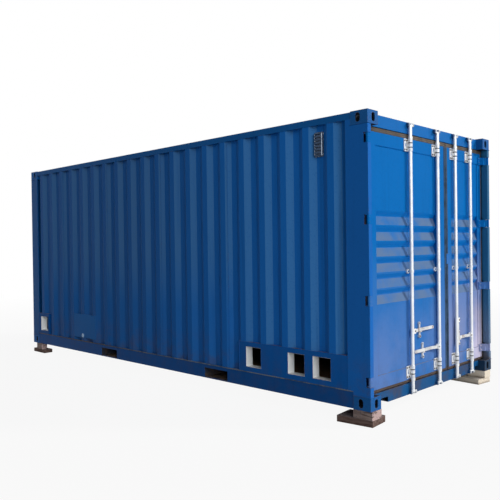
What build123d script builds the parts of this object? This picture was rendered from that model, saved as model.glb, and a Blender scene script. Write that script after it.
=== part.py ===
from build123d import *
import math
import os

# Twenty-foot dry freight container on timber packing, in millimetres.
# X runs along the length with the doors at +X, the modified side is at -Y,
# Z is up from the ground under the packing.

# Overall size of the frame, over the corner castings
length = 6058
width = 2438
height = 2591
support_height = 138

# Corner castings
casting_length = 178
casting_width = 162
casting_height = 118
casting_wall = 16
casting_plate = 28
slot_end_inset = 102.5
slot_side_inset = 89.5
slot_length = 124.5
slot_width = 63.5
side_hole_height = 79.5
side_hole_width = 51

# Side frame
rail_bottom_gap = 4
bottom_rail_top = 152
bottom_rail_web = 5
bottom_rail_flange = 46
bottom_rail_inset = 3
top_rail_size = 60
top_rail_wall = 3
top_rail_inset = 4
front_rail_inset = 3
roof_drop = 6
post_plate = 6
post_side_width = 234
post_front_width = 50
post_return_depth = 66
post_seal_offset = 142
post_seal_width = 96
post_seal_lip = 30
front_post_side = casting_length

# Corrugated side walls
wall_inset = 7
wall_sheet = 2
wall_pitch = 282
wall_flat = 74
wall_slope = 68
wall_depth = 36
wall_phase_from_post = 131

# Corrugated front wall
front_wall_inset = 12
front_wall_depth = 46
front_wall_pitch = 250
front_wall_flat = 110
front_wall_slope = 18
front_member_size = 60

# Roof
roof_sheet = 2
roof_pitch = 209
roof_flat = 91
roof_slope = 14
roof_depth = 20

# Floor
floor_thickness = 28
floor_bottom = 140
floor_edge_gap = 6
cross_member_height = 122
cross_member_flange = 45
cross_member_web = 4
cross_member_pitch = 290

# Fork pockets
pocket_spacing = 2050
pocket_shift = 52
pocket_width = 360
pocket_bottom = 12
pocket_height = 103
pocket_wall = 6
pocket_floor_run = 430
pocket_side_gap = 10

# Filled-in lower side panels with four lined cut-outs
panel_top = 458
panel_sheet = 4
panel_inset = 3
rear_panel_length = 1355
front_panel_length = 291
cutout_width = 210
cutout_bottom = 205
cutout_height = 208
cutout_depth = 92
cutout_lining = 3
rear_cutout_insets = [1153, 593, 290]
front_cutout_inset = 164

# Small fittings on the modified side
vent_width = 104
vent_height = 226
vent_drop = 239
vent_trough_index = 1
vent_standoff = 10
vent_rim = 3
vent_hood = 21
vent_base_width = 62
vent_base_inset = 8
vent_corner = 14
vent_louvres = 7
vent_slot_height = 9
vent_slot_inset = 16
vent_slot_margin = 20
plate_inset = 1009
plate_width = 556
plate_bottom = 200
plate_height = 322
plate_thickness = 3

# Door opening
header_depth = 122
header_face_inset = 77
header_drop = 115
header_wall = 4
sill_top = 112
sill_notch_height = 54
sill_notch_near = 237
sill_notch_far = 87

# Door leaves
hinge_inset = 13
leaf_face_inset = 77
leaf_depth = 50
leaf_bottom = 146
leaf_top_gap = 161
leaf_edge_inset = 64
right_leaf_width = 793.5
leaf_gap_width = 77
leaf_rail_height = 115
leaf_panel_recess = 8
leaf_panel_sheet = 3
leaf_tube_wall = 4
left_stile_width = 170
right_stile_width = 82
rib_count = 6
rib_start = 898
rib_pitch = 142
rib_rise = 78
rib_root = 10
rib_return = 38
rib_depth = 28

# Door seals
seal_thickness = 12
seal_gap = 5
seal_centre_gap = 8

# Hinges
hinge_count = 4
low_hinge_height = 250
top_hinge_drop = 241
hinge_height = 110
hinge_notch_depth = 46
lug_thickness = 12
blade_clearance = 2
pin_radius = 8
pin_clearance = 0.5
knuckle_radius = 12
blade_thickness = 10
blade_reach = 125
blade_shoulder_back = 22
blade_shoulder_in = 30
blade_elbow_back = 24
blade_elbow_in = 54
blade_toe_in = 72
blade_root_back = 44
blade_root_in = 44

# Locking bars
bar_radius = 17
bar_face_offset = 24
bar_bottom = 30
bar_top_gap = 35
left_bar_edge_inset = 172.5
left_bar_spacing = 532
right_bar_edge_inset = 134.5
right_bar_spacing = 351
cam_height = 14
cam_reach = 34
cam_stub = 15
cam_depth = 20
cam_prong = 22
cam_taper = 5
keeper_plate = 4
keeper_cheek = 8
keeper_gap = 6
keeper_depth = 40
keeper_nose = 14
bearing_clearance = 1
bearing_wall = 3
low_bearing_height = 220
top_bearing_drop = 224
bearing_height = 116
bearing_plate = 6
bearing_plate_reach = 80
bearing_plate_corner = 9
bearing_knuckles = 3
bearing_groove = 12
bearing_slot_length = 40
bearing_slot_width = 14
guide_length = 26
guide_disc_radius = 22
guide_disc_offset = 28
collar_height = 22
collar_radius = 22
collar_gap = 1

# Handles of the four bars, from left to right: height, way (+1 towards +Y) and
# the room left between the tip and the next bar; the third handle hangs down
handle_heights = [602, 396, 622, 430]
handle_sides = [1, -1, 1, -1]
handle_end_gaps = [102, 62, None, 71]
hanging_handle_length = 235
handle_plate = 10
handle_crank = 12
crank_start = 60
crank_end = 100
handle_width = 30
hub_height = 46
hub_reach = 44
hub_depth = 30
handle_pin_radius = 6
handle_pin_offset = 32
handle_pin_inset = 3
hub_slot_bite = 2
hub_side_gap = 1
catch_from_tip = [257, 169, None, 23]
catch_width = 44
catch_waist = 20
catch_lobe_radius = 16
catch_lobe_depth = 11
catch_gap = 3
catch_ledge = 8
catch_depth = 18
catch_plate_below = 48
catch_plate_height = 124

# Timber packing
door_plank_length = 352
door_plank_width = 240
door_plank_thickness = 58
door_plank_side_proud = 8
door_plank_skew = 6
log_length = 196
log_width = 146
log_side_inset = 22
log_wane = 34
log_top_wane = 12
front_plank_length = 325
front_plank_width = 128
front_plank_thickness = 50
front_block_length = 152
front_block_width = 84
front_block_end_inset = 74
front_block_side_inset = 12

# Values that follow from the sizes above
half_length = length / 2
half_width = width / 2
base = support_height
bar_x = half_length - leaf_face_inset + bar_face_offset
leaf_face = half_length - leaf_face_inset
leaf_back = leaf_face - leaf_depth
leaf_top = height - leaf_top_gap
hinge_x = half_length - hinge_inset
hinge_y = half_width - hinge_inset
leaf_edge = half_width - leaf_edge_inset
leaf_gap_centre = leaf_edge - right_leaf_width - leaf_gap_width / 2
left_free_edge = leaf_gap_centre - leaf_gap_width / 2
right_free_edge = leaf_gap_centre + leaf_gap_width / 2
wall_face = half_width - wall_inset
post_wall_edge = half_length - post_side_width
front_post_edge = -half_length + front_post_side
top_rail_bottom = height - roof_drop - top_rail_size
roof_top = height - roof_drop
header_bottom = height - header_drop
bar_top = height - bar_top_gap
bearing_heights = [low_bearing_height, height - top_bearing_drop]
hinge_step = (height - top_hinge_drop - low_hinge_height) / (hinge_count - 1)
hinge_heights = [low_hinge_height + i * hinge_step for i in range(hinge_count)]
left_bars = [left_free_edge - left_bar_edge_inset - left_bar_spacing, left_free_edge - left_bar_edge_inset]
right_bars = [right_free_edge + right_bar_edge_inset, right_free_edge + right_bar_edge_inset + right_bar_spacing]
bar_positions = left_bars + right_bars
bar_spacings = [left_bar_spacing, left_bar_spacing, right_bar_spacing, right_bar_spacing]
header_face = half_length - header_face_inset
header_back = header_face - header_depth
rear_panel_start = post_wall_edge - rear_panel_length
front_panel_stop = front_post_edge + front_panel_length
rear_cutouts = [post_wall_edge - inset for inset in rear_cutout_insets]
front_cutout = front_post_edge + front_cutout_inset
vent_centre_z = height - vent_drop
slot_x = half_length - slot_end_inset
slot_y = half_width - slot_side_inset
pocket_centres = [pocket_shift - pocket_spacing / 2, pocket_shift + pocket_spacing / 2]
nodes = {}


def keep(name, *solids):
    """Hold the solids of one named piece until they are written."""
    nodes.setdefault(name, []).extend(solids)


def block(x0, x1, y0, y1, z0, z1):
    """Box between two corners, with z counted from the underside of the castings."""
    size = (abs(x1 - x0), abs(y1 - y0), abs(z1 - z0))
    middle = ((x0 + x1) / 2, (y0 + y1) / 2, (z0 + z1) / 2 + base)
    return Pos(*middle) * Box(*size)


def offset_points(points, thickness):
    """Points of the line that runs at one side of an open line, with mitred corners."""
    normals = []
    for (ax, ay), (bx, by) in zip(points, points[1:]):
        run = math.hypot(bx - ax, by - ay)
        normals.append(((ay - by) / run, (bx - ax) / run))
    moved = []
    for i, (x, y) in enumerate(points):
        first = normals[max(i - 1, 0)]
        second = normals[min(i, len(normals) - 1)]
        share = thickness / (1 + first[0] * second[0] + first[1] * second[1])
        moved.append((x + (first[0] + second[0]) * share, y + (first[1] + second[1]) * share))
    return moved


def strip_face(points, thickness, plane):
    """Face of a bent sheet whose one side follows the points."""
    outline = list(points) + offset_points(points, thickness)[::-1]
    return make_face(plane * Polyline(*outline, close=True))


def upright_sheet(points, thickness, z0, z1):
    """Bent sheet with a plan outline, standing from z0 to z1."""
    face = strip_face(points, thickness, Plane.XY.offset(base + z0))
    return extrude(face, z1 - z0, dir=(0, 0, 1))


def long_sheet(points, thickness, x0, x1):
    """Bent sheet with an outline across the container, running along X."""
    raised = [(y, z + base) for y, z in points]
    return extrude(strip_face(raised, thickness, Plane.YZ.offset(x0)), x1 - x0, dir=(1, 0, 0))


def cross_sheet(points, thickness, y0, y1):
    """Bent sheet with an outline along the container, running across it."""
    plane = Plane(origin=(0, y0, base), x_dir=(1, 0, 0), z_dir=(0, -1, 0))
    return extrude(strip_face(points, thickness, plane), y1 - y0, dir=(0, 1, 0))


def slot_hole(plane, slot, across, depth):
    """Round-ended hole cutter through a casting wall, both ways from the plane."""
    return extrude(plane * SlotOverall(slot, across), depth, both=True)


def side_name(side):
    return "left" if side < 0 else "right"


# Corner castings: hollow cast blocks with an oval hole in each outer face

def corner_casting(end, side, top):
    """One casting at the given end (+1 doors), side and level."""
    x_out = end * half_length
    y_out = side * half_width
    z_out = height if top else 0
    down = -1 if top else 1
    body = block(x_out, x_out - end * casting_length, y_out, y_out - side * casting_width,
                 z_out, z_out + down * casting_height)
    hollow = block(x_out - end * casting_wall, x_out - end * (casting_length - casting_wall),
                   y_out - side * casting_wall, y_out - side * (casting_width - casting_wall),
                   z_out + down * casting_plate, z_out + down * (casting_height - casting_wall))
    slot_centre = (end * slot_x, side * slot_y, z_out + base)
    middle_z = z_out + down * casting_height / 2 + base
    cuts = [slot_hole(Plane.XY.move(Location(slot_centre)), slot_length, slot_width, casting_plate + 1)]
    end_plane = Plane(origin=(x_out, side * slot_y, middle_z), x_dir=(0, 0, 1), z_dir=(1, 0, 0))
    cuts.append(slot_hole(end_plane, side_hole_height, side_hole_width, casting_wall + 1))
    side_plane = Plane(origin=(end * slot_x, y_out, middle_z), x_dir=(0, 0, 1), z_dir=(0, 1, 0))
    cuts.append(slot_hole(side_plane, side_hole_height, side_hole_width, casting_wall + 1))
    body = body - hollow
    for cut in cuts:
        body = body - cut
    return body


def make_castings():
    for end in (-1, 1):
        for side in (-1, 1):
            place = f"{'front' if end < 0 else 'door'}_{side_name(side)}"
            keep(f"bottom_casting_{place}", corner_casting(end, side, False))
            keep("top_corner_castings", corner_casting(end, side, True))


# Corner posts: folded plate, stiff at the door end where the hinges hang

def rear_post(side):
    """Door post with its hinge notches and lugs, standing between two castings."""
    z0 = casting_height
    z1 = height - casting_height
    y_out = side * half_width
    y_in = side * (half_width - post_front_width)
    skin = side * post_plate
    plates = [
        block(half_length - casting_length, half_length, y_out, y_out - skin, z0, z1),
        block(post_wall_edge, half_length - casting_length, y_out, y_out - skin, bottom_rail_top,
              top_rail_bottom),
        block(half_length - post_plate, half_length, y_out, y_in, z0, z1),
        block(half_length - post_return_depth, half_length, y_in, y_in + skin, z0, z1),
    ]
    seal_x = half_length - post_seal_offset
    y_seal = side * (half_width - post_seal_width)
    plates.append(block(seal_x - post_plate, seal_x, y_out, y_seal, z0, z1))
    plates.append(block(seal_x - post_seal_lip, seal_x, y_seal, y_seal + skin, z0, z1))
    post = plates[0]
    for plate in plates[1:]:
        post = post + plate
    for z in hinge_heights:
        z_low = z - hinge_height / 2
        z_high = z + hinge_height / 2
        post = post - block(half_length - hinge_notch_depth, half_length + 1, y_out + side, y_in - side,
                            z_low, z_high)
        post = post - block(half_length - post_return_depth - 1, half_length, y_in - side,
                            y_in + skin + side, z_low, z_high)
        post = post + hinge_lugs(side, z)
    return post


def hinge_lugs(side, z):
    """Upper and lower lug of one hinge with the pin between them."""
    reach = hinge_height / 2
    back = half_length - hinge_notch_depth - post_plate
    y_out = side * half_width
    y_in = side * (half_width - post_front_width)
    lower = block(back, half_length, y_out, y_in, z - reach, z - reach + lug_thickness)
    upper = block(back, half_length, y_out, y_in, z + reach - lug_thickness, z + reach)
    pin = Pos(hinge_x, side * hinge_y, z + base) * Cylinder(pin_radius, hinge_height)
    return lower + upper + pin


def front_post(side):
    """Front post: an outer folded angle with a slanted inner plate."""
    z0 = casting_height
    z1 = height - casting_height
    y_out = side * half_width
    y_in = side * (half_width - casting_width)
    plan = [(front_post_edge, y_out), (-half_length, y_out), (-half_length, y_in)]
    outer = upright_sheet(plan, side * post_plate, z0, z1)
    wall_back = -half_length + front_wall_inset + front_wall_depth
    inner_plan = [(front_post_edge - post_plate, y_out - side * post_plate / 2), (wall_back, y_in)]
    inner = upright_sheet(inner_plan, side * -post_plate, z0, z1)
    room = block(-half_length, front_post_edge, y_out, y_in, z0, z1)
    return outer + (inner & room)


def make_posts():
    for side in (-1, 1):
        keep(f"{side_name(side)}_door_post", rear_post(side))
        keep(f"{side_name(side)}_front_post", front_post(side))


# Rails: pressed channels below, square tube above

def bottom_rail(side):
    """Bottom side rail, a channel open inwards, cut through at the fork pockets."""
    y_out = side * (half_width - bottom_rail_inset)
    y_in = y_out - side * bottom_rail_flange
    outline = [(y_in, rail_bottom_gap), (y_out, rail_bottom_gap),
               (y_out, bottom_rail_top), (y_in, bottom_rail_top)]
    x0 = -half_length + casting_length
    x1 = half_length - casting_length
    rail = long_sheet(outline, side * bottom_rail_web, x0, x1)
    for x in pocket_centres:
        rail = rail - block(x - pocket_width / 2, x + pocket_width / 2, y_out + side, y_in - side,
                            pocket_bottom, pocket_bottom + pocket_height)
    return rail


def tube(x0, x1, y0, y1, z0, z1, wall, axis):
    """Square tube between two corners, open at the ends along the axis."""
    outer = block(x0, x1, y0, y1, z0, z1)
    if axis == "x":
        return outer - block(x0 - 1, x1 + 1, y0 + wall, y1 - wall, z0 + wall, z1 - wall)
    if axis == "y":
        return outer - block(x0 + wall, x1 - wall, y0 - 1, y1 + 1, z0 + wall, z1 - wall)
    return outer - block(x0 + wall, x1 - wall, y0 + wall, y1 - wall, z0 - 1, z1 + 1)


def make_rails():
    x0 = -half_length + casting_length
    x1 = half_length - casting_length
    for side in (-1, 1):
        name = side_name(side)
        keep(f"{name}_bottom_side_rail", bottom_rail(side))
        y_out = side * (half_width - top_rail_inset)
        y_in = y_out - side * top_rail_size
        keep(f"{name}_top_side_rail", tube(x0, x1, min(y_in, y_out), max(y_in, y_out), top_rail_bottom,
                                           roof_top, top_rail_wall, "x"))
    y_end = half_width - casting_width
    front = -half_length + front_rail_inset
    keep("front_top_rail", tube(front, front + front_member_size, -y_end, y_end, top_rail_bottom, roof_top,
                                top_rail_wall, "y"))
    keep("front_bottom_rail", tube(front, front + front_member_size, -y_end, y_end, rail_bottom_gap,
                                   bottom_rail_top, top_rail_wall, "y"))
    keep("door_header", tube(header_back, header_face, -y_end, y_end, header_bottom, roof_top,
                             header_wall, "y"))
    sill = tube(header_back, header_face, -y_end, y_end, rail_bottom_gap, sill_top, header_wall, "y")
    for y0, y1 in ((-y_end, -y_end + sill_notch_near), (y_end, y_end - sill_notch_far)):
        sill = sill - block(header_back - 1, header_face + 1, y0, y1, 0, sill_notch_height)
        low = min(y0, y1)
        high = max(y0, y1)
        sill = sill + block(header_back, header_face, low, high, sill_notch_height,
                            sill_notch_height + header_wall)
    keep("door_sill", sill)


# Walls and roof: pressed sheets that follow one repeating wave

def wave(start, stop, first, flat, slope, root, depth):
    """Trapezoid wave from start to stop; outer level 0, inner level depth.

    first is where a slope inwards begins; one period is flat, slope, root, slope.
    """
    pitch = flat + 2 * slope + root
    corners = []
    index = math.floor((start - first) / pitch) - 1
    while first + index * pitch < stop + pitch:
        x = first + index * pitch
        corners += [(x, 0), (x + slope, depth), (x + slope + root, depth), (x + 2 * slope + root, 0)]
        index += 1

    def level(x):
        for (ax, ad), (bx, bd) in zip(corners, corners[1:]):
            if ax <= x <= bx:
                return ad + (bd - ad) * (x - ax) / (bx - ax)
        return 0

    inner = [c for c in corners if start + 1 < c[0] < stop - 1]
    return [(start, level(start))] + inner + [(stop, level(stop))]


def side_sheet(side, x0, x1, z0, z1):
    """Stretch of corrugated side wall between two places along X."""
    root = wall_pitch - wall_flat - 2 * wall_slope
    first = post_wall_edge - wall_phase_from_post
    profile = wave(x0, x1, first, wall_flat, wall_slope, root, wall_depth)
    plan = [(x, side * (wall_face - d)) for x, d in profile]
    sheet = upright_sheet(plan, -side * wall_sheet, z0, z1)
    return sheet & block(x0, x1, -half_width, half_width, z0, z1)


def make_walls():
    wall_top = top_rail_bottom
    keep("left_wall", side_sheet(-1, front_post_edge, post_wall_edge, panel_top, wall_top))
    keep("left_wall", side_sheet(-1, front_panel_stop, rear_panel_start, bottom_rail_top, panel_top))
    keep("right_wall", side_sheet(1, front_post_edge, post_wall_edge, bottom_rail_top, wall_top))
    y_end = half_width - casting_width
    root = front_wall_pitch - front_wall_flat - 2 * front_wall_slope
    profile = wave(-y_end, y_end, -front_wall_pitch / 2 + front_wall_flat / 2, front_wall_flat,
                   front_wall_slope, root, front_wall_depth)
    plan = [(-half_length + front_wall_inset + d, y) for y, d in profile]
    sheet = upright_sheet(plan, -wall_sheet, bottom_rail_top, wall_top)
    keep("front_wall", sheet & block(-half_length, 0, -y_end, y_end, bottom_rail_top, wall_top))


def make_roof():
    y_end = half_width - top_rail_inset - top_rail_size
    x0 = -half_length + front_rail_inset + front_member_size
    x1 = header_back
    root = roof_pitch - roof_flat - 2 * roof_slope
    profile = wave(x0, x1, x0 + roof_flat, roof_flat, roof_slope, root, roof_depth)
    outline = [(x, roof_top - d) for x, d in profile]
    roof = cross_sheet(outline, -roof_sheet, -y_end, y_end)
    for side in (-1, 1):
        roof = roof - block(-half_length, -half_length + casting_length, side * half_width,
                            side * (half_width - casting_width), roof_top - 2 * roof_depth, height)
    keep("roof", roof)


# Filled-in lower panels: flat plate, top ledge and lined cut-outs

def lower_panel(x0, x1, centres, closed_end):
    """Flat plate in place of the wave, with a ledge on top and its cut-outs."""
    y_face = -(half_width - panel_inset)
    y_back = -(wall_face - wall_depth)
    outline = [(y_face, bottom_rail_top), (y_face, panel_top), (y_back, panel_top)]
    panel = long_sheet(outline, -panel_sheet, x0, x1)
    cap = x1 - panel_sheet if closed_end > 0 else x0
    panel = panel + block(cap, cap + panel_sheet, y_face, y_back, bottom_rail_top, panel_top)
    for x in centres:
        panel = panel - block(x - cutout_width / 2, x + cutout_width / 2, y_face - 1, y_face + panel_sheet + 1,
                              cutout_bottom, cutout_bottom + cutout_height)
    return panel


def cutout_sleeve(x):
    """Lining of one cut-out, a short square duct through the wall."""
    y_face = -(half_width - panel_inset)
    half = cutout_width / 2
    return tube(x - half, x + half, y_face, y_face + cutout_depth, cutout_bottom,
                cutout_bottom + cutout_height, cutout_lining, "y")


def make_panels():
    keep("rear_lower_panel", lower_panel(rear_panel_start, post_wall_edge, rear_cutouts, -1))
    keep("front_lower_panel", lower_panel(front_post_edge, front_panel_stop, [front_cutout], 1))
    for x in [front_cutout] + rear_cutouts:
        keep("cutout_linings", cutout_sleeve(x))


def vent_centre_x():
    """Middle of the wall trough that carries the vent, counted from the door post."""
    root = wall_pitch - wall_flat - 2 * wall_slope
    return post_wall_edge - wall_phase_from_post + wall_slope + root / 2 - vent_trough_index * wall_pitch


def wall_vent():
    """Ventilator on the wall: a base in the trough and a hollow hood with level slots."""
    x = vent_centre_x()
    y_root = -(wall_face - wall_depth)
    y_base = y_root - vent_standoff
    y_rim = y_base - vent_rim
    y_hood = y_rim - vent_hood
    half = vent_width / 2
    z0 = vent_centre_z - vent_height / 2
    z1 = vent_centre_z + vent_height / 2
    base_half = vent_base_width / 2
    body = block(x - base_half, x + base_half, y_root, y_base, z0 + vent_base_inset, z1 - vent_base_inset)
    rim = block(x - half, x + half, y_base, y_rim, z0, z1)
    rim = fillet(rim.edges().filter_by(Axis.Y), vent_corner)
    hood = block(x - half + vent_slot_inset / 2, x + half - vent_slot_inset / 2, y_rim,
                 y_hood, z0 + vent_slot_inset / 2, z1 - vent_slot_inset / 2)
    hood = fillet(hood.edges().filter_by(Axis.Y) + hood.edges().group_by(Axis.Y)[0], vent_rim * 2)
    step = (vent_height - 2 * vent_slot_margin - vent_slot_height) / (vent_louvres - 1)
    for i in range(vent_louvres):
        z = z0 + vent_slot_margin + i * step
        hood = hood - block(x - half + vent_slot_inset, x + half - vent_slot_inset, y_rim - vent_rim,
                            y_hood - 1, z, z + vent_slot_height)
    return body + rim + hood


def make_fittings():
    keep("wall_vent", wall_vent())
    plate_left = front_post_edge + plate_inset
    keep("blank_plate", block(plate_left, plate_left + plate_width, -wall_face, -wall_face - plate_thickness,
                              plate_bottom, plate_bottom + plate_height))


# Floor, its cross members and the fork pockets

def cross_member(x):
    """Channel under the floor, from rail to rail."""
    y_end = half_width - bottom_rail_inset - bottom_rail_flange
    z1 = floor_bottom
    z0 = floor_bottom - cross_member_height
    outline = [(x + cross_member_flange, z0), (x, z0), (x, z1), (x + cross_member_flange, z1)]
    return cross_sheet(outline, -cross_member_web, -y_end, y_end)


def fork_pocket(x):
    """Lined tunnel for a fork: two webs, a top plate and a floor strip at each mouth."""
    y_end = half_width - bottom_rail_inset - bottom_rail_flange
    half = pocket_width / 2
    z0 = pocket_bottom
    z1 = pocket_bottom + pocket_height
    outline = [(x - half, z0 - pocket_wall), (x - half, z1), (x + half, z1), (x + half, z0 - pocket_wall)]
    tunnel = cross_sheet(outline, pocket_wall, -y_end, y_end)
    for side in (-1, 1):
        tunnel = tunnel + block(x - half, x + half, side * y_end, side * (y_end - pocket_floor_run),
                                z0 - pocket_wall, z0)
    return tunnel


def make_floor():
    y_end = wall_face - wall_depth - wall_sheet - floor_edge_gap
    x0 = -half_length + front_wall_inset + front_wall_depth + floor_edge_gap
    x1 = header_back
    board = block(x0, x1, -y_end, y_end, floor_bottom, floor_bottom + floor_thickness)
    for side in (-1, 1):
        board = board - block(x0, front_post_edge + floor_edge_gap, side * half_width,
                              side * (half_width - casting_width - floor_edge_gap), 0, height)
    keep("floor", board)
    reach = pocket_width / 2 + pocket_wall + pocket_side_gap
    starts = [-half_length + casting_length + floor_edge_gap, pocket_centres[0] + reach, pocket_centres[1] + reach]
    stops = [pocket_centres[0] - reach, pocket_centres[1] - reach, header_back]
    for start, stop in zip(starts, stops):
        room = stop - start - cross_member_flange
        steps = max(1, round(room / cross_member_pitch))
        for i in range(steps):
            keep("cross_members", cross_member(start + room * i / steps))
        keep("cross_members", cross_member(start + room))
    for x in pocket_centres:
        keep("fork_pockets", fork_pocket(x))


# Door leaves: tube frame, recessed sheet with pressed horizontal ribs

def leaf_sheet(y0, y1):
    """Recessed door sheet with its band of ribs."""
    face = leaf_face - leaf_panel_recess
    z0 = leaf_bottom + leaf_rail_height
    z1 = leaf_top - leaf_rail_height
    outline = [(face, z0)]
    for i in range(rib_count):
        z = rib_start + i * rib_pitch
        outline += [(face, z), (face - rib_depth, z + rib_rise),
                    (face - rib_depth, z + rib_rise + rib_root),
                    (face, z + rib_rise + rib_root + rib_return)]
    outline.append((face, z1))
    return cross_sheet(outline, leaf_panel_sheet, y0, y1)


def door_leaf(side):
    """One leaf, without its fittings."""
    if side < 0:
        y0, y1, stile = -leaf_edge, left_free_edge, left_stile_width
    else:
        y0, y1, stile = right_free_edge, leaf_edge, right_stile_width
    z_low = leaf_bottom + leaf_rail_height
    z_high = leaf_top - leaf_rail_height
    leaf = tube(leaf_back, leaf_face, y0, y0 + stile, leaf_bottom, leaf_top, leaf_tube_wall, "z")
    leaf = leaf + tube(leaf_back, leaf_face, y1 - stile, y1, leaf_bottom, leaf_top, leaf_tube_wall, "z")
    leaf = leaf + tube(leaf_back, leaf_face, y0 + stile, y1 - stile, leaf_bottom, z_low, leaf_tube_wall, "y")
    leaf = leaf + tube(leaf_back, leaf_face, y0 + stile, y1 - stile, z_high, leaf_top, leaf_tube_wall, "y")
    return leaf + leaf_sheet(y0 + stile, y1 - stile)


def door_seal(side):
    """Rubber strip round one leaf, with its lip close to the frame."""
    if side < 0:
        y0, y1 = -leaf_edge, left_free_edge
        lip0 = -(half_width - post_front_width - seal_gap)
        lip1 = leaf_gap_centre - seal_centre_gap / 2
    else:
        y0, y1 = right_free_edge, leaf_edge
        lip0 = leaf_gap_centre + seal_centre_gap / 2
        lip1 = half_width - post_front_width - seal_gap
    x0 = leaf_face - seal_thickness
    z0 = casting_height + seal_gap
    z1 = height - casting_height - seal_gap
    ring = block(x0, leaf_face, lip0, lip1, z0, z1)
    return ring - block(x0 - 1, leaf_face + 1, y0, y1, leaf_bottom, leaf_top)


def hinge_blade(side, z):
    """Forged blade from the pin, bent back onto the face of the leaf."""
    half = hinge_height / 2 - lug_thickness - blade_clearance
    face = leaf_face - hinge_x
    outer = face + blade_thickness
    arm = [(-knuckle_radius / 2, 0), (0, knuckle_radius / 2), (-blade_shoulder_back, blade_shoulder_in),
           (-blade_elbow_back, blade_elbow_in), (outer, blade_toe_in), (outer, blade_reach),
           (face, blade_reach), (face, leaf_edge_inset - hinge_inset), (-blade_root_back, blade_root_in)]
    plan = [(hinge_x + dx, side * (hinge_y - dy)) for dx, dy in arm]
    plane = Plane.XY.offset(base + z - half)
    blade = extrude(make_face(plane * Polyline(*plan, close=True)), 2 * half)
    axis = Pos(hinge_x, side * hinge_y, base + z)
    blade = blade + axis * Cylinder(knuckle_radius, 2 * half)
    return blade - axis * Cylinder(pin_radius + pin_clearance, 3 * half)


# Locking gear: bars with cam ends, their bearings, handles, catches and keepers

def cam(y, way, z, up):
    """Forged cam on the end of a bar: a rounded arm with a tapered prong outwards."""
    half = cam_depth / 2
    nose = y + way * (cam_reach - half)
    z_prong = z - up * cam_prong
    z_arm = z + up * cam_height
    arm = block(bar_x - half, bar_x + half, y - way * cam_stub, nose, z, z_arm)
    arm = arm + Pos(bar_x, nose, (z + z_arm) / 2 + base) * Cylinder(half, cam_height)
    prong = Pos(bar_x, nose, (z + z_prong) / 2 + base) * Cone(half, half - cam_taper, cam_prong, rotation=(
        0 if up < 0 else 180, 0, 0))
    keep_side = block(bar_x - half, bar_x + half, y + way * (cam_reach - cam_height), y + way * cam_reach,
                      z, z_prong)
    return arm + (prong & keep_side)


def bar_collar(y, z):
    """Thrust ring clamped on a bar next to a bearing."""
    return Pos(bar_x, y, base + z) * Cylinder(collar_radius, collar_height)


def locking_bar(index):
    """Round bar with a cam at each end, thrust rings and a hub for its handle."""
    y = bar_positions[index]
    way = handle_sides[index]
    bar = Pos(bar_x, y, base + (bar_bottom + bar_top) / 2) * Cylinder(bar_radius, bar_top - bar_bottom)
    for z, up in ((bar_bottom, 1), (bar_top, -1)):
        bar = bar + cam(y, way, z, up)
    ring_offset = bearing_height / 2 + collar_gap + collar_height / 2
    bar = bar + bar_collar(y, bearing_heights[0] - ring_offset)
    bar = bar + bar_collar(y, bearing_heights[1] + ring_offset)
    z = handle_heights[index]
    slot_half = handle_plate / 2 + hub_side_gap
    bar = bar + block(bar_x - hub_depth / 2, bar_x + hub_depth / 2, y, y + way * hub_reach,
                      z - hub_height / 2, z + hub_height / 2)
    return bar - block(bar_x - slot_half, bar_x + slot_half, y + way * (bar_radius - hub_slot_bite),
                       y + way * (hub_reach + 1), z - hub_height, z + hub_height)


def handle_reach(index):
    """Length of a handle from the axis of its bar to its tip."""
    return bar_spacings[index] - handle_end_gaps[index]


def handle(index):
    """Flat bar that pivots in the hub and is cranked towards the door, or hangs down straight."""
    way = handle_sides[index]
    y_pin = bar_positions[index] + way * handle_pin_offset
    z = handle_heights[index]
    x0 = bar_x - handle_plate / 2
    half = handle_width / 2
    if handle_end_gaps[index] is None:
        tip = Pos(bar_x, y_pin, base + z - hanging_handle_length) * Rot(0, 90, 0) * Cylinder(half, handle_plate)
        lever = block(x0, x0 + handle_plate, y_pin - half, y_pin + half, z - hanging_handle_length, z) + tip
    else:
        y_tip = bar_positions[index] + way * handle_reach(index)
        plan = [(x0, y_pin), (x0, y_pin + way * crank_start), (x0 - handle_crank, y_pin + way * crank_end),
                (x0 - handle_crank, y_tip)]
        lever = upright_sheet(plan, -way * handle_plate, z - half, z + half)
        lever = fillet(lever.edges().filter_by(Axis.X).group_by(Axis.Y)[-1 if way > 0 else 0], half - 1)
    eye = Pos(bar_x, y_pin, base + z) * Rot(0, 90, 0) * Cylinder(half, handle_plate)
    pin_length = hub_depth - 2 * handle_pin_inset
    pin = Pos(bar_x, y_pin, base + z) * Rot(0, 90, 0) * Cylinder(handle_pin_radius, pin_length)
    return lever + eye + pin


def pin_bore(index):
    """Hole across the hub for the pin of its handle."""
    y_pin = bar_positions[index] + handle_sides[index] * handle_pin_offset
    place = Pos(bar_x, y_pin, base + handle_heights[index]) * Rot(0, 90, 0)
    return place * Cylinder(handle_pin_radius + pin_clearance, hub_depth * 2)


def bar_bearing(y, z, tall, reach):
    """Bearing of a locking bar: a plate on the leaf with a sleeve round the bar."""
    sleeve_radius = bar_radius + bearing_clearance + bearing_wall
    plate = block(leaf_face, leaf_face + bearing_plate, y - reach, y + sleeve_radius, z - tall / 2, z + tall / 2)
    plate = fillet(plate.edges().filter_by(Axis.X), bearing_plate_corner)
    sleeve = Pos(bar_x, y, base + z) * Cylinder(sleeve_radius, tall)
    return plate + sleeve - Pos(bar_x, y, base + z) * Cylinder(bar_radius + bearing_clearance, tall + 2)


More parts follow.
